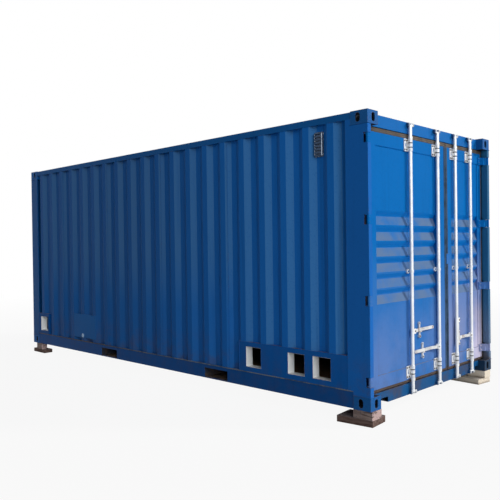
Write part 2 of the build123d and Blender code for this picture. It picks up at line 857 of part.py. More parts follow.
def knuckled_bearing(y, z):
    """Tall bearing whose sleeve is cut into short knuckles, with a slot down its plate."""
    bearing = bar_bearing(y, z, bearing_height, bearing_plate_reach)
    sleeve_radius = bar_radius + bearing_clearance + bearing_wall
    knuckle = (bearing_height - (bearing_knuckles - 1) * bearing_groove) / bearing_knuckles
    for i in range(bearing_knuckles - 1):
        z0 = z - bearing_height / 2 + knuckle + i * (knuckle + bearing_groove)
        bearing = bearing - block(leaf_face + bearing_plate, bar_x + sleeve_radius + 1, y - sleeve_radius - 1,
                                  y + sleeve_radius + 1, z0, z0 + bearing_groove)
    middle = (leaf_face + bearing_plate / 2, y - (sleeve_radius + bearing_plate_reach) / 2, z + base)
    slot_plane = Plane(origin=middle, x_dir=(0, 0, 1), z_dir=(1, 0, 0))
    return bearing - slot_hole(slot_plane, bearing_slot_length, bearing_slot_width, bearing_plate)


def bar_guide(y):
    """Short middle guide with a round pad beside the bar, seated between two ribs."""
    z = rib_start + 2 * rib_pitch - (rib_pitch - rib_rise - rib_root - rib_return) / 2
    thickness = bearing_plate + leaf_panel_recess
    pad = Pos(leaf_face + bearing_plate - thickness / 2, y - guide_disc_offset, base + z) * Rot(0, 90, 0)
    ring = bar_bearing(y, z, guide_length, guide_disc_offset)
    return ring + pad * Cylinder(guide_disc_radius, thickness)


def handle_catch(index):
    """Catch on the leaf: an upright plate with a ledge under the handle and a lobe at each
    end. The upper lobe stays as flat as the plate, because the handle lifts across it."""
    way = handle_sides[index]
    tip = bar_positions[index] + way * handle_reach(index)
    y = tip - way * catch_from_tip[index]
    z = handle_heights[index] - handle_width / 2 - catch_gap
    z_low = z - catch_plate_below
    z_high = z_low + catch_plate_height
    plate = block(leaf_face - leaf_panel_recess, leaf_face + bearing_plate, y - catch_waist / 2,
                  y + catch_waist / 2, z_low, z_high)
    for z_lobe, rise in ((z_low, catch_lobe_depth), (z_high, bearing_plate)):
        depth = rise + leaf_panel_recess
        lobe = Pos(leaf_face + rise - depth / 2, y, z_lobe + base) * Rot(0, 90, 0)
        plate = plate + lobe * Cylinder(catch_lobe_radius, depth)
    ledge = block(leaf_face - leaf_panel_recess, leaf_face + catch_depth, y - catch_width / 2,
                  y + catch_width / 2, z - catch_ledge, z)
    return plate + ledge


def cam_keeper(index, z, up):
    """Keeper on the frame: a back plate and two cheeks, open towards the front."""
    y = bar_positions[index]
    way = handle_sides[index]
    y_long = y + way * (cam_reach + keeper_gap)
    y_short = y - way * (bar_radius + keeper_gap)
    z0 = z - up * cam_prong
    z1 = z + up * cam_height
    plate = block(header_face, header_face + keeper_plate, y_long + way * keeper_cheek,
                  y_short - way * keeper_cheek, z0, z1)
    for y0, y1 in ((y_long, y_long + way * keeper_cheek), (y_short, y_short - way * keeper_cheek)):
        cheek = block(header_face, header_face + keeper_depth, y0, y1, z0, z1)
        front = cheek.edges().filter_by(Axis.Y).group_by(Axis.X)[-1]
        plate = plate + fillet(front, keeper_nose)
    return plate


def make_doors():
    for side, indices in ((-1, (0, 1)), (1, (2, 3))):
        name = side_name(side)
        keep(f"{name}_door_leaf", door_leaf(side))
        keep(f"{name}_door_seal", door_seal(side))
        for z in hinge_heights:
            keep(f"{name}_hinge_blades", hinge_blade(side, z))
        for index in indices:
            y = bar_positions[index]
            for z in bearing_heights:
                keep(f"{name}_bar_bearings", knuckled_bearing(y, z))
            keep(f"{name}_bar_bearings", bar_guide(y))
            if handle_end_gaps[index] is not None:
                keep(f"{name}_handle_catches", handle_catch(index))


def make_locking_gear():
    for index in range(len(bar_positions)):
        keep(f"locking_bar_{index + 1}", locking_bar(index) - pin_bore(index))
        keep(f"handle_{index + 1}", handle(index))
        keep("upper_cam_keepers", cam_keeper(index, bar_top, -1))
        keep("lower_cam_keepers", cam_keeper(index, bar_bottom, 1))


# Timber packing under the castings

def sleeper(side):
    """Round-edged log under a door-end casting, on a plank that lies a little askew."""
    x1 = half_length
    y_plank = side * (half_width + door_plank_side_proud)
    z_plank = door_plank_thickness - support_height
    plank = block(0, door_plank_length, 0, -side * door_plank_width, -support_height, z_plank)
    plank = Pos(x1 - door_plank_length, y_plank, 0) * Rot(0, 0, -side * door_plank_skew) * plank
    y_log = side * (half_width - log_side_inset)
    log = block(x1 - log_length, x1, y_log, y_log - side * log_width, z_plank, 0)
    edges = log.edges().filter_by(Axis.X)
    inner_low = edges.sort_by(Axis.Z)[:2].sort_by(Axis.Y)[-1 if side < 0 else 0]
    log = fillet(inner_low, log_wane)
    outer_top = log.edges().filter_by(Axis.X).sort_by(Axis.Z)[-2:].sort_by(Axis.Y)[0 if side < 0 else -1]
    log = fillet(outer_top, log_top_wane)
    return plank + log


def board_support(side):
    """Plank along the container under a front casting, with one sawn block standing on it."""
    y_out = side * half_width
    x0 = -half_length
    plank_top = front_plank_thickness - support_height
    plank = block(x0, x0 + front_plank_length, y_out, y_out - side * front_plank_width,
                  -support_height, plank_top)
    x_block = x0 + front_block_end_inset
    y_block = y_out - side * front_block_side_inset
    return plank + block(x_block, x_block + front_block_length, y_block, y_block - side * front_block_width,
                         plank_top, 0)


def make_supports():
    for side in (-1, 1):
        keep("rear_sleepers", sleeper(side))
        keep("front_boards", board_support(side))


make_castings()
make_posts()
make_rails()
make_walls()
make_roof()
make_panels()
make_fittings()
make_floor()
make_doors()
make_locking_gear()
make_supports()

os.makedirs("parts", exist_ok=True)
for node, solids in nodes.items():
    flat = []
    for solid in solids:
        flat += solid.solids()
    export_step(flat[0] if len(flat) == 1 else Compound(flat), f"parts/{node}.step")
print(len(nodes), "nodes written")
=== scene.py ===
import math

import bpy
import numpy as np
from mathutils import Matrix, Vector


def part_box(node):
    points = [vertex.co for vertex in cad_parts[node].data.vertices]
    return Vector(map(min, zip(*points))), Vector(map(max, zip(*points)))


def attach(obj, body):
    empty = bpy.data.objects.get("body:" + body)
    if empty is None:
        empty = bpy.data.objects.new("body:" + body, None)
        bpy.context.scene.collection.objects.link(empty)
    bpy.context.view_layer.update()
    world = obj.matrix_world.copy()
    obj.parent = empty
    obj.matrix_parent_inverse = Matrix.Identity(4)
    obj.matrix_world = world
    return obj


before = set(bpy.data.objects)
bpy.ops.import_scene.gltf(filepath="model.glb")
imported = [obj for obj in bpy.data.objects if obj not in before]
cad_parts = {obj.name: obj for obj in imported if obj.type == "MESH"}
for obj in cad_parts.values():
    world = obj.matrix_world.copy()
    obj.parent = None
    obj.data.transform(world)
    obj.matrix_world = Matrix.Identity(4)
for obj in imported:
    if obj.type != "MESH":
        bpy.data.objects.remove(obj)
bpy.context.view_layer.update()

# Viewpoint: standing eye height, off the corner between the cut-outs and the doors.
# Heading, tilt and roll are in degrees, and the focal length counts in pixels of a
# frame 500 pixels wide.
view_heading, view_tilt, view_roll = 44.25, 0.52, -0.77
view_focal, view_frame = 621.64, 500
view_place = Vector((5.9928, -5.7113, 1.5872))
heading, tilt, roll = (math.radians(a) for a in (view_heading, view_tilt, view_roll))
away = Vector((math.sin(heading) * math.cos(tilt), -math.cos(heading) * math.cos(tilt), math.sin(tilt)))
across = Vector((0, 0, 1)).cross(away).normalized()
upward = away.cross(across)
level = across * math.cos(roll) + upward * math.sin(roll)
upright = upward * math.cos(roll) - across * math.sin(roll)
camera = bpy.data.objects.new("camera", bpy.data.cameras.new("camera"))
camera.data.sensor_width = 36
camera.data.lens = 36 * view_focal / view_frame
camera.data.clip_end = 200
camera.matrix_world = Matrix.Translation(view_place) @ Matrix((level, upright, away)).transposed().to_4x4()
bpy.context.scene.collection.objects.link(camera)
bpy.context.scene.camera = camera
bpy.context.scene.view_settings.view_transform = "Standard"


# Studio: a plain pale floor, a low sky that shows white behind the container, a soft key
# lamp before the doors from the plain side, and a wide fill lamp before the cut-outs.
def shader(tree, kind, **inputs):
    """New node whose named inputs are linked from a socket or set to a value."""
    node = tree.nodes.new(kind)
    for name, value in inputs.items():
        socket = node.inputs[name.replace("_", " ")]
        if isinstance(value, bpy.types.NodeSocket):
            tree.links.new(value, socket)
        else:
            socket.default_value = value
    return node


def calc(tree, kind, first, second):
    """One step of arithmetic on two sockets or numbers."""
    node = tree.nodes.new("ShaderNodeMath")
    node.operation = kind
    for socket, value in zip(node.inputs, (first, second)):
        if isinstance(value, bpy.types.NodeSocket):
            tree.links.new(value, socket)
        else:
            socket.default_value = value
    return node.outputs[0]


def seen(tree):
    """1 for rays from the camera, a mirror or glass, 0 for rays that light the object."""
    rays = tree.nodes.new("ShaderNodeLightPath")
    direct = calc(tree, "MAXIMUM", rays.outputs["Is Camera Ray"], rays.outputs["Is Glossy Ray"])
    return calc(tree, "MAXIMUM", direct, rays.outputs["Is Transmission Ray"])


sky_tint, sky_strength = (0.82, 0.90, 1.0, 1), 0.12
surround = bpy.data.worlds.new("surround")
surround.use_nodes = True
sky = surround.node_tree
sky.nodes.clear()
sky_light = shader(sky, "ShaderNodeBackground", Color=sky_tint, Strength=sky_strength)
sky_white = shader(sky, "ShaderNodeBackground", Color=(1, 1, 1, 1), Strength=1.0)
sky_pick = shader(sky, "ShaderNodeMixShader", Fac=seen(sky))
sky.links.new(sky_light.outputs[0], sky_pick.inputs[1])
sky.links.new(sky_white.outputs[0], sky_pick.inputs[2])
sky.links.new(sky_pick.outputs[0], sky.nodes.new("ShaderNodeOutputWorld").inputs[0])
bpy.context.scene.world = surround

lamps = {"key_lamp": ((0.62, 0.56, 0.55), 2.5, 8, (1.0, 0.98, 0.94)),
         "fill_lamp": ((0.86, -0.40, 0.31), 1.55, 40, (0.94, 0.97, 1.0))}
for lamp_name, (toward, energy, spread, tint) in lamps.items():
    lamp = bpy.data.objects.new(lamp_name, bpy.data.lights.new(lamp_name, "SUN"))
    lamp.data.energy = energy
    lamp.data.angle = math.radians(spread)
    lamp.data.color = tint
    lamp.rotation_mode = "QUATERNION"
    lamp.rotation_quaternion = Vector(toward).to_track_quat("Z", "Y")
    bpy.context.scene.collection.objects.link(lamp)

floor_reach = 60
floor_mesh = bpy.data.meshes.new("studio_floor")
floor_corners = [(-floor_reach, -floor_reach, 0), (floor_reach, -floor_reach, 0),
                 (floor_reach, floor_reach, 0), (-floor_reach, floor_reach, 0)]
floor_mesh.from_pydata(floor_corners, [], [(0, 1, 2, 3)])
studio_floor = bpy.data.objects.new("studio_floor", floor_mesh)
bpy.context.scene.collection.objects.link(studio_floor)
pale_floor = bpy.data.materials.new("pale_floor")
pale_floor.use_nodes = True
tree = pale_floor.node_tree
tree.nodes.clear()
floor_matt = shader(tree, "ShaderNodeBsdfDiffuse", Color=(0.42, 0.41, 0.40, 1))
floor_white = shader(tree, "ShaderNodeEmission", Color=(1, 1, 1, 1), Strength=1.0)
floor_place = tree.nodes.new("ShaderNodeTexCoord").outputs["Object"]
floor_far = tree.nodes.new("ShaderNodeVectorMath")
floor_far.operation = "LENGTH"
tree.links.new(floor_place, floor_far.inputs[0])
floor_fade = shader(tree, "ShaderNodeMapRange", Value=floor_far.outputs["Value"])
for word, number in (("From Min", 4.0), ("From Max", 14.0), ("To Min", 0.92), ("To Max", 1.0)):
    floor_fade.inputs[word].default_value = number
floor_share = calc(tree, "MULTIPLY", seen(tree), floor_fade.outputs["Result"])
floor_mix = shader(tree, "ShaderNodeMixShader", Fac=floor_share)
tree.links.new(floor_matt.outputs[0], floor_mix.inputs[1])
tree.links.new(floor_white.outputs[0], floor_mix.inputs[2])
tree.links.new(floor_mix.outputs[0], tree.nodes.new("ShaderNodeOutputMaterial").inputs[0])
floor_mesh.materials.append(pale_floor)


# Walls and roof: thin steel sheet, pressed into waves and sprayed blue after welding.
# The paint has gone chalky in patches, rain has left upright streaks, road dirt sits low
# down, dust lies on ledges, and the primer and rust show where edges were knocked.
def noise(tree, place, scale, detail=4.0, rough=0.55, stretch=(1, 1, 1)):
    """Noise on the object's own coordinates, with the axes stretched by a mapping."""
    mapping = shader(tree, "ShaderNodeMapping", Vector=place, Scale=stretch)
    made = shader(tree, "ShaderNodeTexNoise", Vector=mapping.outputs[0], Scale=scale, Detail=detail,
                  Roughness=rough)
    return made.outputs["Fac"]


def band(tree, value, low, high):
    """Smooth step of a value, from 0 at low to 1 at high."""
    made = shader(tree, "ShaderNodeMapRange", Value=value)
    made.interpolation_type = "SMOOTHSTEP"
    made.inputs["From Min"].default_value = low
    made.inputs["From Max"].default_value = high
    return made.outputs["Result"]


def cover(tree, share, under, over):
    """Colour under, covered by colour over as far as share says."""
    made = tree.nodes.new("ShaderNodeMix")
    made.data_type = "RGBA"
    sockets = {socket.identifier: socket for socket in made.inputs}
    for name, value in (("Factor_Float", share), ("A_Color", under), ("B_Color", over)):
        if isinstance(value, bpy.types.NodeSocket):
            tree.links.new(value, sockets[name])
        else:
            sockets[name].default_value = value if name == "Factor_Float" else (*value, 1)
    return {socket.identifier: socket for socket in made.outputs}["Result_Color"]


def parts_of(tree, vector):
    """X, Y and Z of a vector socket."""
    return shader(tree, "ShaderNodeSeparateXYZ", Vector=vector).outputs


def worn_edge(tree, reach):
    """Near 1 on sharp outer edges, where a rounded normal leaves the flat one."""
    rounded = shader(tree, "ShaderNodeBevel", Radius=reach)
    rounded.samples = 4
    flat = tree.nodes.new("ShaderNodeNewGeometry")
    turn = tree.nodes.new("ShaderNodeVectorMath")
    turn.operation = "DOT_PRODUCT"
    tree.links.new(rounded.outputs[0], turn.inputs[0])
    tree.links.new(flat.outputs["Normal"], turn.inputs[1])
    return band(tree, turn.outputs["Value"], 0.985, 0.80)


def blank_material(name):
    """Empty node tree with the object's coordinates and its own normal."""
    material = bpy.data.materials.new(name)
    material.use_nodes = True
    tree = material.node_tree
    tree.nodes.clear()
    coordinates = tree.nodes.new("ShaderNodeTexCoord")
    return material, tree, coordinates.outputs["Object"], coordinates.outputs["Normal"]


def close(material, tree, colour, roughness, height, strength, depth, metallic=0.0, gloss=0.5):
    """Principled surface of a colour, a roughness and a height in metres of depth."""
    relief = shader(tree, "ShaderNodeBump", Height=height, Strength=strength, Distance=depth)
    surface = shader(tree, "ShaderNodeBsdfPrincipled", Base_Color=colour, Roughness=roughness,
                     Normal=relief.outputs[0], Metallic=metallic, Specular_IOR_Level=gloss)
    tree.links.new(surface.outputs[0], tree.nodes.new("ShaderNodeOutputMaterial").inputs[0])
    return material


def container_paint(name, blue, chalk=0.5, streaks=0.5, soil=0.5, wear=0.5, veil=0.0, veil_top=2.1,
                    bleach_and_light=0.0, dust_and_bounce=0.0, dull=0.0, gloss=0.06, dust=0.75):
    """Sprayed blue over primer, with a share for each kind of ageing and of painted light: chalk
    pales patches, streaks are rain runs, soil is dirt below the knee, wear is chips on edges,
    veil is a pale film below the height veil_top that thickens at the right edge of the doors,
    bleach_and_light pales facets that face the doors, partly sun bleaching and partly painted
    light, dust_and_bounce is the dust on the upward facets of the door ribs and a painted bounce
    light on their downward facets, dull darkens the paint towards the front end, and dust lies
    on ledges. The last layer covers what lies under it, and gloss is how strongly the dry paint
    mirrors."""
    bleached_lit_tint, bleached_lit_tint_front = (0.052, 0.200, 0.455), (0.048, 0.118, 0.240)
    film_tint, crust_tint = (0.60, 0.50, 0.55), (0.86, 0.76, 0.90)
    road_dirt, rib_dust = (0.085, 0.060, 0.045), (0.12, 0.18, 0.28)
    ledge_dust, rusty_primer = (0.23, 0.155, 0.095), (0.15, 0.062, 0.028)
    edge_reach, coat_depth = 0.006, 0.0016
    material, tree, place, normal = blank_material(name)
    along, aside, height = parts_of(tree, place)
    facing = parts_of(tree, normal)

    def both(*values):
        """Product of sockets and numbers."""
        product = values[0]
        for value in values[1:]:
            product = calc(tree, "MULTIPLY", product, value)
        return product

    # The coat itself: chalky patches, the dull end, facets that face the doors paled by sun bleaching
    #     # and painted light, speckle and rain
    patches = noise(tree, place, 0.8, 3.0)
    pale = tuple(c * 1.14 + 0.003 for c in blue)
    colour = cover(tree, both(band(tree, patches, 0.34, 0.7), chalk), blue, pale)
    far = both(band(tree, along, 2.7, -0.9), dull)
    colour = cover(tree, far, colour, tuple(c * 0.5 for c in blue))
    # Facets that face the doors are paled, partly as sun bleaching and partly as painted light.
    bleach_light_reach = calc(tree, "MAXIMUM", band(tree, height, 0.5, 1.6), band(tree, along, 1.1, 1.7))
    bleach_light_reach = calc(tree, "MAXIMUM", bleach_light_reach, 0.25)
    bleached_lit_facets = both(band(tree, facing["X"], 0.2, 0.5), bleach_and_light, bleach_light_reach)
    colour = cover(tree, bleached_lit_facets, colour, cover(tree, far, bleached_lit_tint, bleached_lit_tint_front))
    speckle = band(tree, noise(tree, place, 46, 3.0), 0.52, 0.74)
    colour = cover(tree, both(speckle, 0.3), colour, tuple(c * 0.74 for c in blue))
    rain = band(tree, noise(tree, place, 9, 5.0, 0.62, (1, 1, 0.05)), 0.5, 0.76)
    colour = cover(tree, both(rain, streaks), colour, tuple(c * 0.55 for c in blue))

    # What lies on it: the pale film, dirt low down, dust on ribs and ledges; also painted bounce
    #     # light on the downward rib facets
    outer = both(band(tree, aside, 0.82, 0.94), 1.2)
    film = both(band(tree, height, veil_top, 0.3), veil, calc(tree, "ADD", outer, 1.0))
    film = both(film, band(tree, noise(tree, place, 1.7, 4.0), 0.2, 0.62))
    colour = cover(tree, film, colour, film_tint)
    crust = both(outer, band(tree, height, 0.85, 0.4), veil)
    colour = cover(tree, crust, colour, crust_tint)
    blotch = band(tree, noise(tree, place, 6.5, 5.0, 0.65), 0.40, 0.68)
    dirt = both(band(tree, height, 0.75, 0.16), blotch, soil)
    colour = cover(tree, dirt, colour, road_dirt)
    slope = both(band(tree, facing["Z"], 0.12, 0.3), dust_and_bounce)
    slope = both(slope, band(tree, noise(tree, place, 3.2, 4.0), 0.2, 0.6))
    colour = cover(tree, slope, colour, rib_dust)
    # Downward rib facets in a stronger, brighter blue: painted bounce light from below.
    painted_bounce = both(band(tree, facing["Z"], -0.12, -0.3), dust_and_bounce)
    colour = cover(tree, painted_bounce, colour, tuple(c * 1.6 for c in blue))
    ledge = both(band(tree, facing["Z"], 0.55, 0.9), band(tree, noise(tree, place, 14, 4.0), 0.30, 0.62))
    colour = cover(tree, both(ledge, dust), colour, ledge_dust)

    # Chips on the edges, then the relief of orange peel, shallow dents and chips
    knocks = band(tree, noise(tree, place, 21, 4.0, 0.6), 0.54, 0.66)
    chips = both(worn_edge(tree, edge_reach), knocks, wear)
    colour = cover(tree, chips, colour, rusty_primer)
    roughness = calc(tree, "ADD", both(patches, 0.16), 0.36)
    roughness = calc(tree, "ADD", roughness, both(calc(tree, "MAXIMUM", dirt, chips), 0.3))
    peel = both(noise(tree, place, 240, 2.0), 0.35)
    dents = both(noise(tree, place, 2.6, 2.0), 4.0)
    relief = calc(tree, "ADD", calc(tree, "ADD", peel, dents), both(chips, -0.5))
    return close(material, tree, colour, roughness, relief, 0.35, coat_depth, gloss=gloss)


def dress(material, *names):
    """Put one material on CAD nodes."""
    for name in names:
        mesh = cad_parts[name].data
        mesh.materials.clear()
        mesh.materials.append(material)


wall_blue = (0.005, 0.130, 0.440)
side_blue = (0.008, 0.148, 0.520)
side_paint = container_paint("side_paint", side_blue, chalk=0.6, streaks=0.45, soil=0.5, wear=0.4,
                             bleach_and_light=0.8, dull=0.9)
wall_paint = container_paint("wall_paint", wall_blue, chalk=0.6, streaks=0.45, soil=0.5, wear=0.4,
                             bleach_and_light=0.4)
roof_paint = container_paint("roof_paint", wall_blue, chalk=1.0, streaks=0.3, soil=0.5, wear=0.6,
                             dust=0.22)
dress(side_paint, "left_wall")
dress(wall_paint, "right_wall", "front_wall")
dress(roof_paint, "roof")


# Frame: folded plate posts, pressed rails and square tube, welded to a stiff box and
# sprayed with the walls. It takes the knocks, so more rust shows along its edges.
frame_blue, rail_blue, sill_blue = (0.006, 0.108, 0.350), (0.005, 0.074, 0.270), (0.006, 0.078, 0.225)
near_post_blue, shaded_post_blue = (0.009, 0.132, 0.470), (0.020, 0.125, 0.260)
header_blue = (0.005, 0.135, 0.440)
frame_paint = container_paint("frame_paint", frame_blue, chalk=0.4, streaks=0.35, soil=0.55, wear=1.0,
                              dull=0.45, dust=0.3)
dress(frame_paint, "left_front_post", "right_front_post", "left_top_side_rail", "right_top_side_rail",
      "front_top_rail", "front_bottom_rail")
near_post_paint = container_paint("near_post_paint", near_post_blue, chalk=0.4, streaks=0.35, soil=0.4,
                                  wear=0.8)
dress(near_post_paint, "left_door_post")
rail_paint = container_paint("rail_paint", rail_blue, chalk=0.3, streaks=0.3, soil=0.2, wear=0.8,
                             dull=0.1)
dress(rail_paint, "left_bottom_side_rail", "right_bottom_side_rail")
# The right door post takes a darker, greyer blue than the frame: painted shade, with road dirt low down.
post_paint = container_paint("post_paint", shaded_post_blue, chalk=0.4, streaks=0.4, soil=0.9, wear=0.8,
                             veil=0.05, veil_top=1.4)
dress(post_paint, "right_door_post")
header_paint = container_paint("header_paint", header_blue, chalk=0.5, streaks=0.4, soil=0.5, wear=0.7,
                               veil=0.10, dust=0.35)
dress(header_paint, "door_header")
sill_paint = container_paint("sill_paint", sill_blue, chalk=0.4, streaks=0.4, soil=0.5, wear=0.8)
dress(sill_paint, "door_sill")


# Corner castings: blocks of cast steel with a sandy skin under the paint, chafed to bare
# rust round their holes and corners by lifting hooks and twist locks.
casting_outer, casting_inner = {"X": 3.029, "Y": 1.219}, {"X": 2.851, "Y": 1.057}


def casting_skin(name, blue):
    """Painted cast steel, with painted shade in the hollow that lies within the outer and inner faces."""
    material, tree, place, normal = blank_material(name)
    top_inside, wall = 2.722, {"X": 0.010, "Y": 0.009}
    grain = noise(tree, place, 110, 5.0, 0.7)
    colour = cover(tree, band(tree, grain, 0.38, 0.7), blue, tuple(c * 0.7 for c in blue))
    chafe = band(tree, noise(tree, place, 19, 4.0, 0.6), 0.46, 0.62)
    scuffs = calc(tree, "MULTIPLY", worn_edge(tree, 0.010), chafe)
    colour = cover(tree, scuffs, colour, (0.12, 0.055, 0.026))
    dust = calc(tree, "MULTIPLY", band(tree, parts_of(tree, normal)["Z"], 0.5, 0.9), 0.6)
    colour = cover(tree, calc(tree, "MULTIPLY", dust, grain), colour, (0.22, 0.16, 0.11))
    hollow = band(tree, parts_of(tree, place)["Z"], top_inside, top_inside - 0.006)
    for letter in ("X", "Y"):
        reach = calc(tree, "ABSOLUTE", parts_of(tree, place)[letter], 0)
        within = casting_outer[letter] - wall[letter]
        hollow = calc(tree, "MULTIPLY", hollow, band(tree, reach, within + 0.004, within))
        beyond = casting_inner[letter] + 0.006
        hollow = calc(tree, "MULTIPLY", hollow, band(tree, reach, beyond, beyond + 0.004))
    # Inside of the casting coloured near black: painted shade.
    colour = cover(tree, hollow, colour, (0.016, 0.020, 0.028))
    return close(material, tree, colour, 0.58, grain, 0.5, 0.0018, gloss=0.15)


dress(casting_skin("casting_skin", frame_blue), "top_corner_castings", "bottom_casting_front_left",
      "bottom_casting_front_right", "bottom_casting_door_left")
# The bottom casting under the right door is coloured near black-blue: painted shade.
dress(casting_skin("shaded_casting", (0.009, 0.036, 0.082)), "bottom_casting_door_right")


# Lower panels: flat plate welded in where the wave was cut away, with four square holes
# lined by folded white sheet and sealed to the plate with a thin bead, painted over. Old
# sealant and silt form a pale line along the foot of this side, on top of the rail.
def riding_mesh(name, points, faces, body, material, smooth=False):
    """Object of points and faces, smooth or flat, that rides on one body of the container."""
    mesh = bpy.data.meshes.new(name)
    mesh.from_pydata(points, [], faces)
    mesh.polygons.foreach_set("use_smooth", np.full(len(faces), smooth))
    mesh.materials.append(material)
    made = bpy.data.objects.new(name, mesh)
    bpy.context.scene.collection.objects.link(made)
    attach(made, body)
    return made


def grid_object(name, points, body, material, round_rows=False, round_columns=False, caps=False,
                smooth=True):
    """Mesh of quads over a grid of points; a direction that closes on itself joins up."""
    rows, columns = points.shape[:2]
    index = np.arange(rows * columns).reshape(rows, columns)
    if round_rows:
        index = np.vstack([index, index[:1]])
    if round_columns:
        index = np.hstack([index, index[:, :1]])
    quads = np.stack([index[:-1, :-1], index[1:, :-1], index[1:, 1:], index[:-1, 1:]], axis=-1)
    faces = quads.reshape(-1, 4).tolist()
    if caps:
        faces += [index[0, :columns].tolist(), index[-1, :columns][::-1].tolist()]
    return riding_mesh(name, points.reshape(-1, 3), faces, body, material, smooth)


def bead(name, corners, normal, body, material, radius, ripple, closed=False, step=0.003):
    """Half-round bead along a line: the line is cut into even steps, and each step carries
    a half circle whose radius swells and shrinks once per ripple length, as a cosine."""
    swell, arc_points = 0.16, 7
    line = np.array(corners + corners[:1] if closed else corners, float)
    runs = np.diff(line, axis=0)
    lengths = np.linalg.norm(runs, axis=1)
    reach = np.concatenate([[0], np.cumsum(lengths)])
    along = np.linspace(0, reach[-1], max(int(reach[-1] / step), 4) + 1)
    place = np.stack([np.interp(along, reach, line[:, i]) for i in range(3)], axis=1)
    which = np.clip(np.searchsorted(reach, along, side="right") - 1, 0, len(runs) - 1)
    heading = runs[which] / lengths[which][:, None]
    outward = np.broadcast_to(np.array(normal, float), heading.shape)
    sideways = np.cross(outward, heading)
    size = radius * (1 + swell * np.cos(2 * np.pi * along / ripple))
    angle = np.linspace(0, np.pi, arc_points)
    arc = sideways[:, None] * np.cos(angle)[None, :, None] + outward[:, None] * np.sin(angle)[None, :, None]
    points = place[:, None] + arc * size[:, None, None]
    return grid_object(name, points, body, material, round_columns=True, caps=True)


panel_blue = (0.004, 0.105, 0.390)
panel_paint = container_paint("panel_paint", panel_blue, chalk=0.3, streaks=0.25, soil=0.25, wear=0.5,
                              dull=0.7)
dress(panel_paint, "front_lower_panel", "rear_lower_panel")


def white_lining():
    """White enamel with faint smears, and grime on the faces that look up."""
    material, tree, place, normal = blank_material("white_lining")
    smear = noise(tree, place, 9, 4.0)
    colour = cover(tree, band(tree, smear, 0.45, 0.78), (0.92, 0.92, 0.91), (0.80, 0.79, 0.76))
    upturned = band(tree, parts_of(tree, normal)["Z"], 0.5, 0.9)
    grime = calc(tree, "MULTIPLY", upturned, band(tree, smear, 0.4, 0.6))
    colour = cover(tree, calc(tree, "MULTIPLY", grime, 0.35), colour, (0.38, 0.34, 0.30))
    return close(material, tree, colour, 0.45, smear, 0.2, 0.002)


def pale_silt():
    """Dried silt and old sealant: pale grey near the doors, browner towards the front."""
    material, tree, place, _ = blank_material("pale_silt")
    patch = noise(tree, place, 5, 5.0, 0.65)
    colour = cover(tree, band(tree, patch, 0.4, 0.62), (0.190, 0.220, 0.250), (0.050, 0.095, 0.180))
    brown = calc(tree, "MULTIPLY", band(tree, parts_of(tree, place)["X"], 0.8, -1.5), 0.75)
    colour = cover(tree, brown, colour, (0.110, 0.085, 0.070))
    return close(material, tree, colour, 0.85, patch, 0.4, 0.002, gloss=0.1)


panel_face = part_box("rear_lower_panel")[0][1]
dress(white_lining(), "cutout_linings")
cutout_half, cutout_low, cutout_high = 0.105, 0.343, 0.551
for number, middle in enumerate((-2.687, 1.642, 2.202, 2.505)):
    rim = [(middle - cutout_half, panel_face, cutout_low), (middle + cutout_half, panel_face, cutout_low),
           (middle + cutout_half, panel_face, cutout_high), (middle - cutout_half, panel_face, cutout_high)]
    bead(f"cutout_sealant_{number + 1}", rim, (0, -1, 0), "container", panel_paint, radius=0.0018,
         ripple=0.045, closed=True)

silt_end, silt_height = casting_inner["X"], 0.2915
silt_line = [(-silt_end, panel_face, silt_height), (silt_end, panel_face, silt_height)]
bead("rail_silt", silt_line, (0, -1, 0), "container", pale_silt(), radius=0.0055, ripple=0.031,
     step=0.008)


# Ventilator and blank plate: a dark cast hood with louvres, chipped to bare metal on its rim
# and riveted into a trough of the wall, and a plate over an old opening, with one pale plug.
def turned(name, places, axis, profile, body, material, sides, smooth=False):
    """Copies of one turned piece: each ring of the profile, a radius at a height, is a
    regular polygon about the axis, and the stack of rings is repeated at every place."""
    axis = np.array(axis, float)
    first = np.cross(axis, (0.0, 0.0, 1.0)) if abs(axis[2]) < 0.9 else np.array((1.0, 0.0, 0.0))
    second = np.cross(axis, first)
    angle = 2 * np.pi * (np.arange(sides) + 0.5) / sides
    around = first * np.cos(angle)[:, None] + second * np.sin(angle)[:, None]
    radius, height = np.array(profile, float).T
    ring = around[None] * radius[:, None, None] + axis * height[:, None, None]
    places = np.array(places, float)
    points = places[:, None, None] + ring[None]
    rings = len(profile)
    index = np.arange(rings * sides).reshape(rings, sides)
    index = np.hstack([index, index[:, :1]])
    quads = np.stack([index[:-1, :-1], index[:-1, 1:], index[1:, 1:], index[1:, :-1]], axis=-1)
    quads = quads.reshape(-1, 4)
    shift = (np.arange(len(places)) * rings * sides)[:, None, None]
    faces = (quads[None] + shift).reshape(-1, 4).tolist()
    faces += (index[-1, :sides][None] + shift[:, 0]).tolist()
    faces += (index[0, :sides][::-1][None] + shift[:, 0]).tolist()
    return riding_mesh(name, points.reshape(-1, 3), faces, body, material, smooth)


